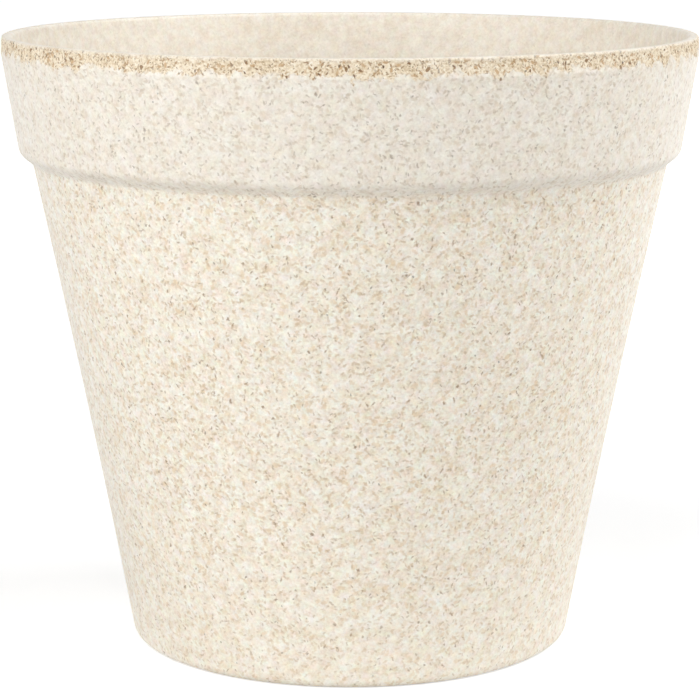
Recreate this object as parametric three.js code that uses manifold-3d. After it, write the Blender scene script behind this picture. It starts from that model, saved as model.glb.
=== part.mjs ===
// A plant pot moulded in one piece from plant fibre and resin.
//
// Millimetres, +Z up. The origin is the centre of the foot ring, on the surface that the pot
// stands on. One wall of even thickness makes the whole pot. Its inside follows its outside
// through the step below the collar, so that the pot leaves its mould and nests in the next one.
// The outline is revolved, and the drain holes are then cut through the floor.

import * as THREE from "three";
import { mergeVertices } from "three/addons/utils/BufferGeometryUtils.js";
import Module from "manifold-3d";

// Body
const rimDiameter = 140;
const potHeight = 124;
const baseDiameter = 90;
const wallThickness = 2.8;
const wallBow = 0.4; // how far the wall draws in between base and step, as the moulding shrinks
const baseEdgeRounding = 1.6;

// Collar, from the sanded band down to the lip
const collarHeight = 23.3; // rim to the lip's corner
const collarTaper = 3.2; // drawn in towards the lip, all the way round
const lipOverhang = 2.6; // lip's corner beyond the wall below it
const lipRise = 2.1; // height of the slope under the lip
const lipRounding = 2.3;
const lipFillet = 1.2; // where the slope under the lip meets the wall
const insideStepFillet = 1.2;

// Rim, sanded nearly upright where the moulding flash was taken off
const sandedBandHeight = 3.6;
const sandedBandFlare = 0.15; // band's foot beyond the rim
const rimOuterRounding = 0.35;
const rimInnerRounding = 0.8;

// Floor and foot ring
const floorThickness = 3.2;
const floorFillet = 6;
const footHeight = 2; // hollow under the floor
const footWidth = 4; // flat that the pot stands on
const footInnerRounding = 0.6;
const footDraft = 0.7; // slope of the foot ring's inner side
const hollowFillet = 1.4;

// Drain holes, one in the middle and a ring of smaller ones
const middleHoleDiameter = 12;
const ringHoleDiameter = 8;
const ringHoleCount = 4;
const holeChamfer = 0.6; // on the floor's upper side, to lead the water in

// Facets
const segmentsAround = 96;
const segmentsPerHole = 24;
const facetSag = 0.03; // how far an arc's chords may stray from the arc
const overcut = 1; // how far a hole's cutter runs past the faces that it opens

const composite = new THREE.MeshStandardMaterial({ color: 0xe9e0cf, roughness: 0.6, metalness: 0 });

// A corner of an outline in the plane of radius and height. The run that leads up to it may bow.
function corner(radius, height, rounding = 0, bow = 0) {
  return { point: new THREE.Vector2(radius, height), rounding, bow };
}

function stepsFor(radius, turn) {
  const turnPerStep = 2 * Math.acos(1 - facetSag / Math.max(radius, facetSag));
  return Math.max(2, Math.ceil(turn / turnPerStep));
}

// The arc that rounds a corner, no larger than the runs beside it can hold.
function roundedCorner(before, { point, rounding }, after) {
  const back = before.clone().sub(point);
  const ahead = after.clone().sub(point);
  const halfAngle = back.angleTo(ahead) / 2;
  const room = Math.min(back.length(), ahead.length()) / 2;
  const reach = Math.min(rounding / Math.tan(halfAngle), room);
  const radius = reach * Math.tan(halfAngle);
  const bisector = back.clone().normalize().add(ahead.clone().normalize()).normalize();
  const centre = point.clone().addScaledVector(bisector, radius / Math.sin(halfAngle));
  const start = point.clone().addScaledVector(back.normalize(), reach).sub(centre);
  const end = point.clone().addScaledVector(ahead.normalize(), reach).sub(centre);
  const clockwise = start.cross(end) < 0;
  const arc = new THREE.EllipseCurve(
    centre.x, centre.y, radius, radius, start.angle(), end.angle(), clockwise);
  return arc.getPoints(stepsFor(radius, Math.PI - 2 * halfAngle));
}

// The inner points of a shallow arc between two points, drawn in towards the axis by the bow.
function bowedRun(from, to, bow) {
  const length = from.distanceTo(to);
  const radius = length ** 2 / (8 * bow);
  const steps = stepsFor(radius, length / radius);
  return Array.from({ length: steps - 1 }, (_, index) => {
    const along = (index + 1) / steps;
    const depth = 4 * bow * along * (1 - along);
    return from.clone().lerp(to, along).sub(new THREE.Vector2(depth, 0));
  });
}

function roundedOutline(corners) {
  const points = [];
  corners.forEach((here, index) => {
    const rounded = here.rounding > 0
      ? roundedCorner(corners[index - 1].point, here, corners[index + 1].point)
      : [here.point];
    if (here.bow > 0) points.push(...bowedRun(points.at(-1), rounded[0], here.bow));
    points.push(...rounded);
  });
  return points;
}

// A wall's other face: the same runs, moved sideways by the wall's thickness, with mitred corners.
function otherFace(points, thickness) {
  const sideways = points.slice(1).map((point, index) => {
    const run = point.clone().sub(points[index]).normalize();
    return new THREE.Vector2(-run.y, run.x);
  });
  return points.map((point, index) => {
    const below = sideways[Math.max(index - 1, 0)];
    const above = sideways[Math.min(index, sideways.length - 1)];
    const share = thickness / (1 + below.dot(above));
    return point.clone().addScaledVector(below, share).addScaledVector(above, share);
  });
}

function pointAtHeight(from, to, height) {
  return from.clone().lerp(to, (height - from.y) / (to.y - from.y));
}

function revolve(outline) {
  return new THREE.LatheGeometry(outline, segmentsAround).rotateX(Math.PI / 2);
}

const rimRadius = rimDiameter / 2;
const bandFoot = new THREE.Vector2(rimRadius + sandedBandFlare, potHeight - sandedBandHeight);
const lipCorner = new THREE.Vector2(bandFoot.x - collarTaper, potHeight - collarHeight);
const stepCorner = new THREE.Vector2(lipCorner.x - lipOverhang, lipCorner.y - lipRise);
const baseCorner = new THREE.Vector2(baseDiameter / 2, 0);
const floorTop = footHeight + floorThickness;

const [insideBase, insideStep, insideLip, insideBand] =
  otherFace([baseCorner, stepCorner, lipCorner, bandFoot], wallThickness);
const floorCorner = pointAtHeight(insideBase, insideStep, floorTop);
const rimCorner = pointAtHeight(insideLip, insideBand, potHeight);

// The foot ring's flat starts where the base's rounding ends.
const baseSlope = stepCorner.clone().sub(baseCorner).angle();
const footOuterRadius = baseCorner.x - baseEdgeRounding / Math.tan((Math.PI - baseSlope) / 2);
const footInnerRadius = footOuterRadius - footWidth;

function potOutline() {
  return roundedOutline([
    corner(0, footHeight),
    corner(footInnerRadius - footDraft, footHeight, hollowFillet),
    corner(footInnerRadius, 0, footInnerRounding),
    corner(baseCorner.x, baseCorner.y, baseEdgeRounding),
    corner(stepCorner.x, stepCorner.y, lipFillet, wallBow),
    corner(lipCorner.x, lipCorner.y, lipRounding),
    corner(bandFoot.x, bandFoot.y),
    corner(rimRadius, potHeight, rimOuterRounding),
    corner(rimCorner.x, rimCorner.y, rimInnerRounding),
    corner(insideLip.x, insideLip.y, insideStepFillet),
    corner(insideStep.x, insideStep.y, lipFillet + wallThickness),
    corner(floorCorner.x, floorCorner.y, floorFillet, wallBow),
    corner(0, floorTop),
  ]);
}

// A drain hole's cutter, which widens upwards from just below the floor's upper side.
function drainCutter(diameter, x, y) {
  const radius = diameter / 2;
  const outline = [
    new THREE.Vector2(0, footHeight - overcut),
    new THREE.Vector2(radius, footHeight - overcut),
    new THREE.Vector2(radius, floorTop - holeChamfer),
    new THREE.Vector2(radius + holeChamfer + overcut, floorTop + overcut),
    new THREE.Vector2(0, floorTop + overcut),
  ];
  const cutter = new THREE.LatheGeometry(outline, segmentsPerHole).rotateX(Math.PI / 2);
  return cutter.translate(x, y, 0);
}

// The ring of holes lies midway between the middle hole and the foot ring.
function drainCutters() {
  const circleRadius = (middleHoleDiameter / 2 + footInnerRadius) / 2;
  const cutters = [drainCutter(middleHoleDiameter, 0, 0)];
  for (let index = 0; index < ringHoleCount; index += 1) {
    const angle = (2 * Math.PI * (index + 0.5)) / ringHoleCount;
    const x = circleRadius * Math.cos(angle);
    const y = circleRadius * Math.sin(angle);
    cutters.push(drainCutter(ringHoleDiameter, x, y));
  }
  return cutters;
}

const wasm = await Module();
wasm.setup();

function toSolid(geometry) {
  geometry.deleteAttribute("normal");
  geometry.deleteAttribute("uv");
  const merged = mergeVertices(geometry);
  return new wasm.Manifold(new wasm.Mesh({
    numProp: 3,
    vertProperties: merged.attributes.position.array,
    triVerts: new Uint32Array(merged.index.array),
  }));
}

function toGeometry(solid) {
  const { vertProperties, triVerts } = solid.getMesh();
  const geometry = new THREE.BufferGeometry();
  geometry.setAttribute("position", new THREE.BufferAttribute(vertProperties, 3));
  geometry.setIndex(new THREE.BufferAttribute(triVerts, 1));
  geometry.computeVertexNormals();
  return geometry;
}

function makePot() {
  let shell = toSolid(revolve(potOutline()));
  for (const cutter of drainCutters()) {
    shell = shell.subtract(toSolid(cutter));
  }
  const pot = new THREE.Mesh(toGeometry(shell), composite);
  pot.name = "pot";
  return pot;
}

const flowerPot = new THREE.Group();
flowerPot.add(makePot());

export default flowerPot;
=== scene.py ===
import math

import bmesh
import bpy
from mathutils import Matrix, Vector, noise


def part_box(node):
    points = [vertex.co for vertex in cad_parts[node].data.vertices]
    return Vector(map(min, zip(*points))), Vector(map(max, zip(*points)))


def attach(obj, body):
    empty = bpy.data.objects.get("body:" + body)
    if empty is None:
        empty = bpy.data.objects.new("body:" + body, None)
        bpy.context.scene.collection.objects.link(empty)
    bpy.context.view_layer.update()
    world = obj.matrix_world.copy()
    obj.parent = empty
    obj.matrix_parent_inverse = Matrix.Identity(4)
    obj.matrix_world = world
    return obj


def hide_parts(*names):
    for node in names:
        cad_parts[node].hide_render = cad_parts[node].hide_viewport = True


mm = 0.001
white = (1, 1, 1, 1)

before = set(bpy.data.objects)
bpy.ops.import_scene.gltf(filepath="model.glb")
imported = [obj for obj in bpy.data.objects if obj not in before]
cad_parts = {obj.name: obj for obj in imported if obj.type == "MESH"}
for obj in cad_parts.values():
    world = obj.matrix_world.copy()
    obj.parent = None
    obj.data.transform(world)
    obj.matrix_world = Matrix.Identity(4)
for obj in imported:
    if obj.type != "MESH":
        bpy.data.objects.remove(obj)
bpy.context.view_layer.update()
potLow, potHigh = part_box("pot")
print("frame loaded, pot", [round(size / mm, 1) for size in potHigh - potLow], "mm")


# Shader maths: one class round a socket

def linear(red, green, blue):
    # a colour as a picture shows it, 0 to 255, made linear for the shader
    shares = [tone / 255 for tone in (red, green, blue)]
    return tuple(((s + 0.055) / 1.055) ** 2.4 if s > 0.04045 else s / 12.92 for s in shares) + (1,)


class Signal:
    def __init__(self, tree, socket=None):
        self.tree = tree
        self.socket = socket

    def node(self, kind, settings=None, inputs=None, output=0):
        made = self.tree.nodes.new("ShaderNode" + kind)
        for name, value in (settings or {}).items():
            if name == "stops":
                for at, _ in value[2:]:
                    made.color_ramp.elements.new(at)
                for element, (at, colour) in zip(made.color_ramp.elements, value):
                    element.position = at
                    element.color = colour
            else:
                setattr(made, name, value)
        for name, value in (inputs or {}).items():
            if isinstance(value, Signal):
                self.tree.links.new(value.socket, made.inputs[name])
            else:
                made.inputs[name].default_value = value
        return Signal(self.tree, made.outputs[output]) if made.outputs else made

    def other(self, output):
        return Signal(self.tree, self.socket.node.outputs[output])

    def math(self, operation, *values):
        return self.node("Math", {"operation": operation}, dict(enumerate(values)))

    def vector(self, operation, *values, output="Vector"):
        return self.node("VectorMath", {"operation": operation}, dict(enumerate(values)), output)

    def __add__(self, value):
        return self.math("ADD", self, value)

    def __sub__(self, value):
        return self.math("SUBTRACT", self, value)

    def __rsub__(self, value):
        return self.math("SUBTRACT", value, self)

    def __mul__(self, value):
        return self.math("MULTIPLY", self, value)

    def __truediv__(self, value):
        return self.math("DIVIDE", self, value)

    def __rtruediv__(self, value):
        return self.math("DIVIDE", value, self)

    __radd__ = __add__
    __rmul__ = __mul__

    def dot(self, value):
        return self.vector("DOT_PRODUCT", self, value, output="Value")

    def lightness(self):
        # how light this colour looks
        return self.dot((0.3, 0.59, 0.11))

    def scaled(self, value):
        # this colour or vector, times a value
        return self.node("VectorMath", {"operation": "SCALE"}, {0: self, "Scale": value})

    def times(self, colour):
        # this value, times a colour given in numbers
        return self.node("VectorMath", {"operation": "SCALE"}, {0: colour, "Scale": self})

    def scatter(self):
        # the colour of this random pattern, as a vector round zero
        return self.vector("SUBTRACT", self.other("Color"), (0.5, 0.5, 0.5))

    def ramp(self, low, high):
        # 0 at low, 1 at high, smooth between; low may lie above high
        return self.node(
            "MapRange", {"interpolation_type": "SMOOTHSTEP"},
            {"Value": self, "From Min": low, "From Max": high},
        )

    def blend(self, first, second):
        # a colour between two, with this value as the share of the second
        return self.node("Mix", {"data_type": "RGBA"}, {0: self, 6: first, 7: second}, 2)

    def colours(self, *stops):
        # a colour picked by this value, from stops of place and picture colour
        return self.node("ValToRGB", {"stops": [(at, linear(*tone)) for at, tone in stops]}, {0: self})

    def noise(self, size, detail=2, roughness=0.5):
        return self.node(
            "TexNoise", None,
            {"Vector": self, "Scale": 1 / size, "Detail": detail, "Roughness": roughness},
        )


def newTree(holder):
    holder.use_nodes = True
    holder.node_tree.nodes.clear()
    return Signal(holder.node_tree)


# Camera, lamps, backdrop

view = {
    "distance": 540.7 * mm,  # from the pot's axis
    "height": 159.9 * mm,
    "pitch": 10.606,  # degrees down
    "lens": 136.85,
    "sensor": 36,
    "near": 10 * mm,  # what lies nearer or further isn't drawn
    "far": 50,  # metres
}

studio = {
    "floorSize": 6,  # metres
    "floorTone": (218, 218, 218),
    "floorGlow": 0.6,  # added to look at, and more further out
    "fadeFrom": 2,  # the floor fades to white between these, in radii of the rim
    "fadeTo": 12,
    "lampReach": 1.3,  # metres from the pot to each lamp
}

# Soft boxes, aimed at the pot: degrees round it from the camera's side, degrees up, size, watts
lamps = {
    "lowLeft": {"round": -60, "up": 9, "size": (0.7, 0.34), "power": 5.3},
    "lowRight": {"round": 60, "up": 9, "size": (0.7, 0.34), "power": 3.4},
    "frontLeft": {"round": -30, "up": 28, "size": (0.7, 0.6), "power": 5},
    "right": {"round": 90, "up": 28, "size": (0.7, 0.6), "power": 5.9},
    "overFront": {"round": -30, "up": 55, "size": (0.8, 0.7), "power": 5.5},
    "overRight": {"round": 90, "up": 55, "size": (0.8, 0.7), "power": 5.4},
}


def addCamera():
    data = bpy.data.cameras.new("camera")
    data.lens = view["lens"]
    data.sensor_width = view["sensor"]
    data.clip_start = view["near"]
    data.clip_end = view["far"]
    camera = bpy.data.objects.new("camera", data)
    camera.location = (0, -view["distance"], view["height"])
    camera.rotation_euler = (math.radians(90 - view["pitch"]), 0, 0)
    bpy.context.scene.collection.objects.link(camera)
    bpy.context.scene.camera = camera


def addLamp(name, lamp):
    data = bpy.data.lights.new(name, "AREA")
    data.shape = "RECTANGLE"
    data.size, data.size_y = lamp["size"]
    data.energy = lamp["power"]
    light = bpy.data.objects.new(name, data)
    turn = Matrix.Rotation(math.radians(lamp["round"]), 3, "Z")
    lift = Matrix.Rotation(math.radians(-lamp["up"]), 3, "X")
    outwards = turn @ lift @ Vector((0, -studio["lampReach"], 0))
    light.location = Vector((0, 0, potHigh.z / 2)) + outwards
    light.rotation_euler = (-outwards).to_track_quat("-Z", "Y").to_euler()
    bpy.context.scene.collection.objects.link(light)


def newPiece(name, bm):
    mesh = bpy.data.meshes.new(name)
    bm.to_mesh(mesh)
    bm.free()
    piece = bpy.data.objects.new(name, mesh)
    bpy.context.scene.collection.objects.link(piece)
    return piece


def seenWhite(start):
    # 1 for rays that look or reflect, 0 for those that carry light from one surface to another
    path = start.node("LightPath", output="Is Camera Ray")
    mirrored = path.math("MAXIMUM", path.other("Is Glossy Ray"), path.other("Is Transmission Ray"))
    return path.math("MAXIMUM", path, mirrored)


def floorMaterial():
    # pale floor, which fades to white further out to look at
    material = bpy.data.materials.new("floorPaper")
    start = newTree(material)
    place = start.node("TexCoord", output="Object")
    away = place.vector("LENGTH", place, output="Value")
    further = away.ramp(potHigh.x * studio["fadeFrom"], potHigh.x * studio["fadeTo"])
    glow = seenWhite(start) * (further * (1 - studio["floorGlow"]) + studio["floorGlow"])
    lit = start.node("BsdfDiffuse", None, {"Color": linear(*studio["floorTone"])})
    lift = start.node("Emission", None, {"Color": white, "Strength": glow})
    start.node("OutputMaterial", None, {"Surface": start.node("AddShader", None, {0: lit, 1: lift})})
    return material


def addFloor():
    bm = bmesh.new()
    bmesh.ops.create_grid(bm, x_segments=1, y_segments=1, size=studio["floorSize"] / 2)
    floor = newPiece("floor", bm)
    floor.data.materials.append(floorMaterial())


def setWorld():
    # white to look at and in reflections, while the lamps do the lighting
    world = bpy.data.worlds.new("studio")
    bpy.context.scene.world = world
    start = newTree(world)
    back = start.node("Background", None, {"Color": white, "Strength": seenWhite(start)})
    start.node("OutputWorld", None, {"Surface": back})


# Fibre composite: chips and fibres of husk in pale resin

resin = {
    "cloudSize": 2.6 * mm,  # zones with more and less husk
    "cloudRange": (0.3, 0.7),  # of the noise, from no husk to full
    "clouds": 0.4,
    "flakeSize": 0.6 * mm,  # flakes of husk, pressed together
    "flakes": 0.55,
    "crumbSize": 0.4 * mm,
    "crumbs": 0.12,  # lightness that they change
    "driftSize": 1.6 * mm,  # slow changes of hue, each colour by itself
    "drift": (0.1, 0.09, 0.1),
    "coolSize": 2.2 * mm,  # zones of cooler and paler resin
    "cool": (0.04, 0.13, 0.22),
    "grainSize": 0.32 * mm,
    "grain": 0.16,  # lightness that it changes
    "grainSheen": 0.12,  # roughness that it changes
    "bendSize": 0.45 * mm,  # flakes and flecks are bent a little
    "bendReach": 0.45 * mm,
    "raggedSize": 0.4 * mm,  # of the flecks' outlines
    "ragged": (0.3, 2),  # where an outline reaches out furthest and least
    "bumpDepth": 0.02 * mm,
    "bumpStrength": 0.5,
}

# From the clearest resin to the brownest husk
resinTones = [
    (0, (250, 247, 235)), (0.3, (248, 242, 228)), (0.55, (243, 234, 218)),
    (0.8, (235, 223, 204)), (1, (224, 210, 190)),
]

# One fleck to each cell of a pattern that crosses the surface: cell size, half length, half
# width, share of cells that hold one, softness of its outline, strength, how much they gather
# in the browner zones, and the colours that they are picked from
flecks = {
    "paleFlakes": {
        "cell": 2 * mm, "long": 0.9 * mm, "wide": 0.6 * mm, "share": 0.45, "soft": 1,
        "strength": 0.6, "gather": 0, "tones": [(0, (247, 246, 238)), (1, (252, 247, 234))],
    },
    "tanFlakes": {
        "cell": 1.5 * mm, "long": 0.95 * mm, "wide": 0.48 * mm, "share": 0.9, "soft": 0.9,
        "strength": 0.8, "gather": 0.4,
        "tones": [(0, (228, 206, 170)), (0.4, (227, 204, 174)), (0.7, (221, 206, 172)),
                  (1, (208, 185, 152))],
    },
    "strokes": {
        "cell": 1.02 * mm, "long": 0.68 * mm, "wide": 0.3 * mm, "share": 0.9, "soft": 1,
        "strength": 0.9, "gather": 0.4,
        "tones": [(0, (214, 191, 159)), (0.5, (204, 183, 155)), (1, (176, 156, 130))],
    },
    "fibres": {
        "cell": 1.8 * mm, "long": 0.6 * mm, "wide": 0.2 * mm, "share": 0.2, "soft": 1,
        "strength": 0.8, "gather": 0, "tones": [(0, (170, 140, 106)), (1, (154, 128, 98))],
    },
    "specks": {
        "cell": 1.6 * mm, "long": 0.4 * mm, "wide": 0.28 * mm, "share": 0.14, "soft": 1,
        "strength": 0.85, "gather": 0,
        "tones": [(0, (148, 120, 88)), (0.5, (160, 134, 102)), (0.8, (146, 140, 130)),
                  (1, (158, 146, 108))],
    },
}

# What all flecks share
fleckBuild = {
    "depth": 0.4,  # of a cell: a fleck whose centre lies deeper than this is out of sight
    "shallow": 0.2,  # of that depth, squared: down to here a fleck shows in full
    "shrink": (0.5, 2),  # flecks of the first tones are large, those of the last small
}

# Sanded edge of the rim: bare chips, browner where some are torn out
sandedTones = [
    (0, (204, 182, 148)), (0.25, (227, 210, 181)), (0.5, (240, 226, 202)), (0.75, (247, 237, 218)),
    (1, (254, 247, 234)),
]

bareChips = {
    "chipSize": 0.3 * mm,
    "chips": 0.6,  # how much the tone changes from chip to chip
    "stretchSize": 2.5 * mm,
    "stretches": 0.7,  # and from one stretch to another
    "pits": 0.25,  # and how much browner it is in the pits
    "browner": 0.14,  # and everywhere
    "roughness": 0.3,  # more than the moulded surface
    "relief": 2,  # of the chips, next to that of the grain
}

tornFlecks = {
    "flakes": {
        "cell": 0.95 * mm, "long": 0.62 * mm, "wide": 0.28 * mm, "share": 0.9, "soft": 0.7,
        "strength": 0.9, "tones": [(0, (204, 168, 124)), (0.6, (172, 136, 92)), (1, (134, 100, 62))],
    },
    "splinters": {
        "cell": 0.55 * mm, "long": 0.36 * mm, "wide": 0.15 * mm, "share": 0.8, "soft": 0.7,
        "strength": 0.85, "tones": [(0, (188, 156, 116)), (1, (134, 106, 74))],
    },
    "pits": {
        "cell": 1.3 * mm, "long": 0.5 * mm, "wide": 0.28 * mm, "share": 0.5, "soft": 0.6,
        "strength": 0.95, "tones": [(0, (142, 106, 64)), (0.75, (112, 80, 46)), (1, (38, 26, 16))],
    },
}

# Where the rim is sanded
sanding = {
    "height": 3.45 * mm,
    "raggedness": 7.5 * mm,  # of the band's lower edge
    "raggedSize": 4 * mm,
    "fade": 0.6 * mm,  # from the moulded surface to bare chips
    "topRaggedness": 1.5 * mm,
    "smoothEdge": 0.8 * mm,  # less and less sanded towards the top
    "patchSize": 16 * mm,  # of stretches sanded more and less
    "patchRange": (0.4, 0.6),
    "patches": 0.06,
}

# How the composite shows on each side of the mould, and where it is sanded
mouldedFinish = {"clouds": 1, "flakes": 1, "flecks": 1, "drift": 1, "shade": 1.01, "roughness": 0.4}
finishes = {
    "outside": mouldedFinish,
    "sandedEdge": mouldedFinish,
    "inside": {
        "clouds": 1.2, "flakes": 0.75, "flecks": 0.2, "drift": 1.1, "shade": 1, "roughness": 0.5,
    },
}

# The collar is greyer and more even than the body
collar = {
    "contrast": 0.78,
    "clouds": 0.6,
    "shade": 0.955,
    "evenness": 0.35,
    "tint": (1.06, 0.99, 0.9),
    "fadeBelow": 0.5 * mm,  # it fades into the body round the step
    "fadeAbove": 1 * mm,
}

# The body is more even towards the base, from this share of the height down
lowerBody = {"height": 0.35, "contrast": 0.8}


def mottle(point, size, low=0.25, high=0.75):
    # soft patches of this size, 0 to 1
    return point.noise(size, detail=2, roughness=0.6).ramp(low, high)


def bend(point, size, reach):
    return point.vector("ADD", point, point.noise(size).scatter().scaled(reach))


def cellCentre(point, size):
    return point.node(
        "TexVoronoi", {"voronoi_dimensions": "3D"}, {"Vector": point, "Scale": 1 / size}, "Position"
    )


def chanceAt(place):
    # a random number for each place
    return place.node("TexWhiteNoise", None, {"Vector": place}, "Value")


def fleckColour(under, point, normal, ragged, fleck, strength):
    # Each cell's centre is laid onto the surface, and its fleck lies there, turned its own way,
    # with a ragged outline. The last tones' flecks are smaller, and those deeper in the resin
    # show less.
    centre = cellCentre(point, fleck["cell"])
    chance = chanceAt(centre)
    axis = point.vector("NORMALIZE", point.vector("CROSS_PRODUCT", chance.scatter(), normal))
    offset = point.vector("SUBTRACT", point, centre)
    depth = offset.dot(normal) / (fleckBuild["depth"] * fleck["cell"])
    along = offset.dot(axis) / fleck["long"]
    across = offset.dot(point.vector("CROSS_PRODUCT", axis, normal)) / fleck["wide"]
    pick = point.node("TexWhiteNoise", {"noise_dimensions": "1D"}, {"W": chance}, "Value")
    large, small = fleckBuild["shrink"]
    reach = (along * along + across * across) * ragged * (pick * (small - large) + large)
    shown = reach.ramp(1, 1 - fleck["soft"]) * (depth * depth).ramp(1, fleckBuild["shallow"])
    present = chance.ramp(1 - fleck["share"], 1 - fleck["share"] / 2)
    mask = shown * present * strength
    return mask.blend(under, pick.colours(*fleck["tones"]))


def sandedColour(point, normal, ragged, pit):
    chance = chanceAt(cellCentre(point, bareChips["chipSize"]))
    stretch = point.noise(bareChips["stretchSize"], detail=1)
    pick = chance * bareChips["chips"] + stretch * bareChips["stretches"]
    colour = (pick - pit * bareChips["pits"] - bareChips["browner"]).colours(*sandedTones)
    for fleck in tornFlecks.values():
        colour = fleckColour(colour, point, normal, ragged, fleck, fleck["strength"])
    return colour, chance


def sandedShare(point, height):
    # how far a place is sanded: the band's edges wander, the lower one most
    wander = point.noise(sanding["raggedSize"], detail=4, roughness=0.68) - 0.5
    foot = wander * sanding["raggedness"] + (potHigh.z - sanding["height"])
    patch = point.noise(sanding["patchSize"], detail=1).ramp(*sanding["patchRange"])
    share = (height - foot).ramp(0, sanding["fade"]) * (1 - patch * sanding["patches"])
    top = wander * sanding["topRaggedness"] + (potHigh.z - height)
    return share * top.ramp(-sanding["smoothEdge"] / 2, sanding["smoothEdge"])


def compositeMaterial(name):
    finish = finishes[name]
    material = bpy.data.materials.new(name)
    start = newTree(material)
    point = start.node("TexCoord", output="Object")
    normal = point.other("Normal")
    height = start.node("SeparateXYZ", None, {0: point}, "Z")
    onCollar = height.ramp(stepCorner.z - collar["fadeBelow"], stepCorner.z + collar["fadeAbove"])
    nearBase = height.ramp(potHigh.z * lowerBody["height"], 0)
    contrast = 1 - onCollar * (1 - collar["contrast"]) - nearBase * (1 - lowerBody["contrast"])
    if name == "sandedEdge":
        contrast = contrast * (potHigh.z - height).ramp(0, sanding["smoothEdge"])

    fine = bend(point, resin["bendSize"], resin["bendReach"])
    furthest, least = resin["ragged"]
    ragged = mottle(point, resin["raggedSize"]) * (least - furthest) + furthest
    husk = mottle(point, resin["cloudSize"], *resin["cloudRange"])
    flakes = mottle(fine, resin["flakeSize"])
    cloudsHere = 1 - onCollar * (1 - collar["clouds"])
    clouds = (husk - 0.5) * cloudsHere * (resin["clouds"] * finish["clouds"])
    pick = clouds + (flakes - 0.5) * contrast * (resin["flakes"] * finish["flakes"]) + 0.5
    colour = pick.colours(*resinTones)
    drift = point.noise(resin["driftSize"], detail=1).scatter()
    cool = (point.noise(resin["coolSize"], detail=1) - 0.5).times(resin["cool"])
    hue = point.vector("ADD", point.vector("MULTIPLY", drift, resin["drift"]), cool)
    colour = point.vector("ADD", colour, hue.scaled(finish["drift"]))
    for fleck in flecks.values():
        gathered = (husk * fleck["gather"] + (1 - fleck["gather"])) * contrast
        strength = gathered * (fleck["strength"] * finish["flecks"])
        colour = fleckColour(colour, fine, normal, ragged, fleck, strength)
    crumbs = (chanceAt(cellCentre(fine, resin["crumbSize"])) - 0.5) * resin["crumbs"]
    grain = point.noise(resin["grainSize"], detail=2, roughness=0.6)
    mealy = (crumbs + (grain - 0.5) * resin["grain"]) * contrast * finish["flakes"] + 1
    colour = colour.scaled(mealy * finish["shade"])
    even = colour.lightness().times(collar["tint"])
    colour = (onCollar * collar["evenness"]).blend(colour, even)
    colour = colour.scaled(1 - onCollar * (1 - collar["shade"]))

    roughness = grain * resin["grainSheen"] + (finish["roughness"] - resin["grainSheen"] / 2)
    relief = grain
    if name == "sandedEdge":
        sanded = sandedShare(point, height)
        pit = start.node("Attribute", {"attribute_name": "pit"}, output="Fac")
        bare, chance = sandedColour(point, normal, ragged, pit)
        colour = sanded.blend(colour, bare)
        roughness = roughness + sanded * bareChips["roughness"]
        relief = grain + sanded * chance * bareChips["relief"]
    bump = start.node(
        "Bump", None,
        {"Strength": resin["bumpStrength"], "Distance": resin["bumpDepth"], "Height": relief},
    )
    shader = start.node(
        "BsdfPrincipled", None, {"Base Color": colour, "Roughness": roughness, "Normal": bump}
    )
    start.node("OutputMaterial", None, {"Surface": shader})
    return material


# Pot: one moulding, spun from its outline

pot = {
    "baseRadius": 45 * mm,
    "wall": 2.8 * mm,
    "wallBow": 0.4 * mm,  # walls draw in between base and lip
    "collarHeight": 23.3 * mm,
    "collarTaper": 3.2 * mm,
    "lipOverhang": 2.6 * mm,
    "lipRise": 2.1 * mm,
    "bandHeight": 3.6 * mm,
    "bandFlare": 0.15 * mm,
    "floorThickness": 3.2 * mm,
    "footHeight": 2 * mm,
    "footWidth": 4 * mm,
    "footDraft": 0.7 * mm,
    "middleHole": 12 * mm,
    "ringHole": 8 * mm,
    "ringHoles": 4,
    "holeChamfer": 0.6 * mm,
    "baseRounding": 2.2 * mm,
    "lipRounding": 2.3 * mm,
    "lipFillet": 0.8 * mm,
    "insideStepFillet": 1.2 * mm,
    "rimOuterRounding": 0.5 * mm,
    "rimInnerRounding": 0.8 * mm,
    "floorFillet": 6 * mm,
    "footInnerRounding": 0.6 * mm,
    "hollowFillet": 1.4 * mm,
}

facets = {
    "spinSteps": 384,
    "holeSteps": 64,
    "roundingSteps": 8,
    "ringSpacing": 5 * mm,  # of the rings that a wall is cut into
    "bandRows": 12,
    "bandCuts": 3,  # of each facet of the sanded band, round the pot
    "edgeHold": 0.25 * mm,  # from a wall's last ring to its rounding
    "sharpAngle": 40,  # degrees
    "levelNormal": 0.7,  # faces whose normal points up by more than this are floor
    "cutterMargin": 1 * mm,
    "slack": 0.1 * mm,  # when a place is looked up by its height or radius
    "sameRing": 0.01 * mm,
    "sameVert": 0.001 * mm,
}

# The sanded band is torn into the moulded surface
tearing = {
    "chipSize": 0.62 * mm,
    "pitDepth": 0.16 * mm,
    "pitWalls": 3,  # how steeply a pit's sides rise
    "wear": 0.04 * mm,
    "wearFade": 2.6 * mm,  # wear and pits get shallower towards the foot
}

bandFoot = Vector((potHigh.x, 0, potHigh.z - pot["bandHeight"]))
lipCorner = bandFoot - Vector((pot["collarTaper"], 0, pot["collarHeight"] - pot["bandHeight"]))
stepCorner = lipCorner - Vector((pot["lipOverhang"], 0, pot["lipRise"]))
baseCorner = Vector((pot["baseRadius"], 0, 0))
rimCorner = Vector((potHigh.x - pot["bandFlare"], 0, potHigh.z))
floorTop = pot["footHeight"] + pot["floorThickness"]
baseSlope = math.atan2(stepCorner.z - baseCorner.z, stepCorner.x - baseCorner.x)
footOuter = pot["baseRadius"] - pot["baseRounding"] / math.tan((math.pi - baseSlope) / 2)
footInner = footOuter - pot["footWidth"]


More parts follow.
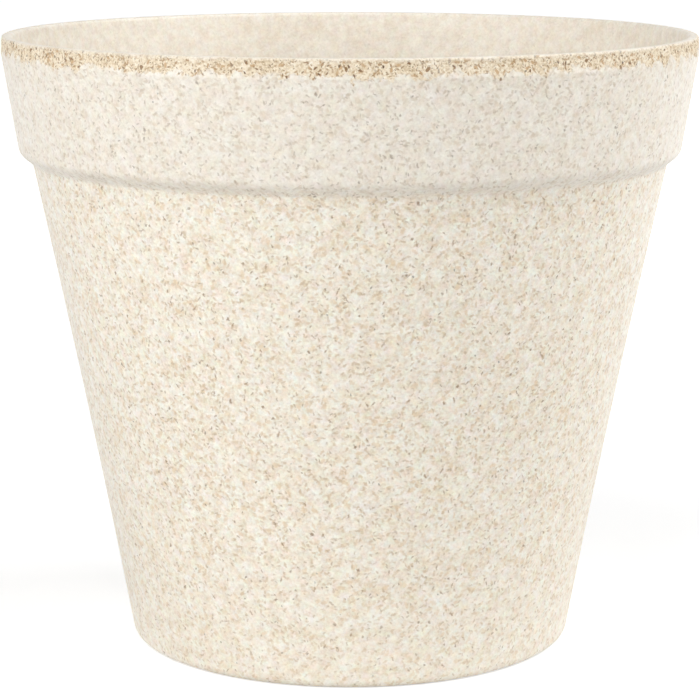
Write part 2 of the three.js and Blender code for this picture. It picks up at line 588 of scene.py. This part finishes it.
def otherFace(points, thickness):
    # the same runs, moved sideways towards the axis, with mitred corners
    runs = [(end - start).normalized() for start, end in zip(points, points[1:])]
    sideways = [Vector((-run.z, 0, run.x)) for run in runs]
    below = sideways[:1] + sideways
    above = sideways + sideways[-1:]
    return [
        point + (low + high) * thickness / (1 + low.dot(high))
        for point, low, high in zip(points, below, above)
    ]


def placeAtHeight(start, end, height):
    return start.lerp(end, (height - start.z) / (end.z - start.z))


def potCorners():
    # corners of the outline and their roundings, from the middle hole's lower edge out under
    # the floor, up the outside, over the rim and down the inside
    outside = [baseCorner, stepCorner, lipCorner, bandFoot]
    insideBase, insideStep, insideLip, insideBand = otherFace(outside, pot["wall"])
    hole = pot["middleHole"] / 2
    return [
        (Vector((hole, 0, pot["footHeight"])), 0),
        (Vector((footInner - pot["footDraft"], 0, pot["footHeight"])), pot["hollowFillet"]),
        (Vector((footInner, 0, 0)), pot["footInnerRounding"]),
        (baseCorner, pot["baseRounding"]),
        (stepCorner, pot["lipFillet"]),
        (lipCorner, pot["lipRounding"]),
        (bandFoot, 0),
        (rimCorner, pot["rimOuterRounding"]),
        (placeAtHeight(insideLip, insideBand, potHigh.z), pot["rimInnerRounding"]),
        (insideLip, pot["insideStepFillet"]),
        (insideStep, pot["lipFillet"] + pot["wall"]),
        (placeAtHeight(insideBase, insideStep, floorTop), pot["floorFillet"]),
        (Vector((hole + pot["holeChamfer"], 0, floorTop)), 0),
        (Vector((hole, 0, floorTop - pot["holeChamfer"])), 0),
    ]


def roundCorner(bm, vert, rounding):
    back, ahead = (edge.other_vert(vert).co - vert.co for edge in vert.link_edges)
    reach = rounding / math.tan(back.angle(ahead) / 2)
    bmesh.ops.bevel(
        bm, geom=[vert], offset=reach, offset_type="OFFSET", segments=facets["roundingSteps"],
        profile=0.5, affect="VERTICES", material=-1,
    )


def cutWall(bm, wall):
    # rings up a wall, with one close to each end to hold the rounding there
    low, high = sorted((vert.co.copy() for vert in wall.verts), key=lambda place: place.z)
    for vert in wall.verts[:]:
        bmesh.utils.edge_split(wall, vert, facets["edgeHold"] / wall.calc_length())
    isBand = low.z > bandFoot.z - facets["edgeHold"]
    cuts = facets["bandRows"] if isBand else round((high.z - low.z) / facets["ringSpacing"])
    bmesh.ops.subdivide_edges(bm, edges=[wall], cuts=cuts)
    if high.z - low.z > potHigh.z / 2:
        bowWall(bm, low, high)


def bowWall(bm, low, high):
    # the rings of this wall alone are drawn in, furthest halfway up
    for vert in bm.verts:
        share = (vert.co.z - low.z) / (high.z - low.z)
        if 0 < share < 1 and abs(vert.co.x - low.lerp(high, share).x) < pot["wall"] / 4:
            vert.co.x -= 4 * pot["wallBow"] * share * (1 - share)


def potOutline(bm):
    corners = potCorners()
    verts = [bm.verts.new(place) for place, _ in corners]
    for pair in zip(verts, verts[1:] + verts[:1]):
        bm.edges.new(pair)
    for vert, (_, rounding) in zip(verts, corners):
        if rounding:
            roundCorner(bm, vert, rounding)
    # the walls and the band are cut, and the middle hole's edge isn't
    for edge in bm.edges[:]:
        rise = abs(edge.verts[0].co.z - edge.verts[1].co.z)
        beyondHole = min(vert.co.x for vert in edge.verts) > pot["middleHole"]
        if beyondHole and rise > pot["bandHeight"] / 2:
            cutWall(bm, edge)


def spinRound(bm, geom, centre, steps):
    bmesh.ops.spin(
        bm, geom=geom, cent=centre, axis=(0, 0, 1), angle=math.tau, steps=steps, use_merge=True,
    )
    bmesh.ops.remove_doubles(bm, verts=bm.verts[:], dist=facets["sameVert"])
    bmesh.ops.recalc_face_normals(bm, faces=bm.faces[:])


def addPlug(bm, centre):
    # one drain hole's cutter, which flares at the floor's upper side
    radius = pot["ringHole"] / 2
    margin = facets["cutterMargin"]
    outline = [
        (0, pot["footHeight"] - margin),
        (radius, pot["footHeight"] - margin),
        (radius, floorTop - pot["holeChamfer"]),
        (radius + pot["holeChamfer"] + margin, floorTop + margin),
        (0, floorTop + margin),
    ]
    verts = [bm.verts.new(centre + Vector((x, 0, z))) for x, z in outline]
    edges = [bm.edges.new(pair) for pair in zip(verts, verts[1:])]
    spinRound(bm, verts + edges, centre, facets["holeSteps"])


def drillHoles(piece):
    # the ring of holes lies midway between the middle hole and the foot ring
    circle = Vector(((pot["middleHole"] / 2 + footInner) / 2, 0, 0))
    bm = bmesh.new()
    for index in range(pot["ringHoles"]):
        turn = math.tau * (index + 0.5) / pot["ringHoles"]
        addPlug(bm, Matrix.Rotation(turn, 3, "Z") @ circle)
    for face in bm.faces:
        face.smooth = True
    plugs = newPiece("plugs", bm)
    cut = piece.modifiers.new("drainHoles", "BOOLEAN")
    cut.operation = "DIFFERENCE"
    cut.solver = "EXACT"
    cut.object = plugs
    bpy.context.view_layer.update()
    drilled = piece.evaluated_get(bpy.context.evaluated_depsgraph_get())
    mesh = bpy.data.meshes.new_from_object(drilled)
    piece.modifiers.clear()
    piece.data = mesh
    bpy.data.objects.remove(plugs)


def isOnBand(vert):
    onEdge = vert.co.xy.length > rimCorner.x - pot["rimOuterRounding"] - facets["slack"]
    return onEdge and vert.co.z > bandFoot.z - facets["slack"]


def runsRound(edge):
    # along one ring of the pot, not from one ring to the next
    start, end = (vert.co for vert in edge.verts)
    apart = max(abs(start.z - end.z), abs(start.xy.length - end.xy.length))
    return apart < facets["sameRing"]


def tearBand(bm):
    # finer facets on the band, pushed in where chips of husk were torn out
    around = [
        edge for edge in bm.edges
        if all(isOnBand(vert) for vert in edge.verts) and runsRound(edge)
    ]
    bmesh.ops.subdivide_edges(bm, edges=around, cuts=facets["bandCuts"], use_grid_fill=True)
    pitLayer = bm.verts.layers.float.new("pit")
    for vert in bm.verts:
        if isOnBand(vert):
            near, _ = noise.voronoi(vert.co / tearing["chipSize"])
            pit = max(0, 1 - tearing["pitWalls"] * (near[1] - near[0]))
            vert[pitLayer] = pit
            top = min(1, (potHigh.z - vert.co.z) / sanding["smoothEdge"])
            foot = min(1, max(0, vert.co.z - bandFoot.z) / tearing["wearFade"])
            depth = top * foot * (tearing["wear"] + tearing["pitDepth"] * pit)
            vert.co.xy *= 1 - depth / vert.co.xy.length


def finishOf(face):
    # the place in the list of finishes: 0 outside, 1 sanded edge, 2 inside
    middle = face.calc_center_median()
    outwards = face.normal.xy.dot(middle.xy)
    if middle.z > bandFoot.z - facets["ringSpacing"] and outwards > 0:
        return 1
    isLevel = face.normal.z > facets["levelNormal"]
    if middle.z > pot["footHeight"] + facets["slack"] and (outwards < 0 or isLevel):
        return 2
    return 0


def buildPot():
    bm = bmesh.new()
    potOutline(bm)
    spinRound(bm, bm.verts[:] + bm.edges[:], (0, 0, 0), facets["spinSteps"])
    for face in bm.faces:
        face.smooth = True
        face.material_index = finishOf(face)
    piece = newPiece("fibrePot", bm)
    for name in finishes:
        piece.data.materials.append(compositeMaterial(name))
    drillHoles(piece)
    piece.data.set_sharp_from_angle(angle=math.radians(facets["sharpAngle"]))
    bm = bmesh.new()
    bm.from_mesh(piece.data)
    tearBand(bm)
    bm.to_mesh(piece.data)
    bm.free()
    return piece


bpy.context.scene.view_settings.view_transform = "Standard"
addCamera()
for lampName, lampFacts in lamps.items():
    addLamp(lampName, lampFacts)
setWorld()
addFloor()
print("camera, lamps and floor in place")

fibrePot = buildPot()
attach(fibrePot, "root")
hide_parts("pot")
print("pot made,", len(fibrePot.data.polygons), "faces")
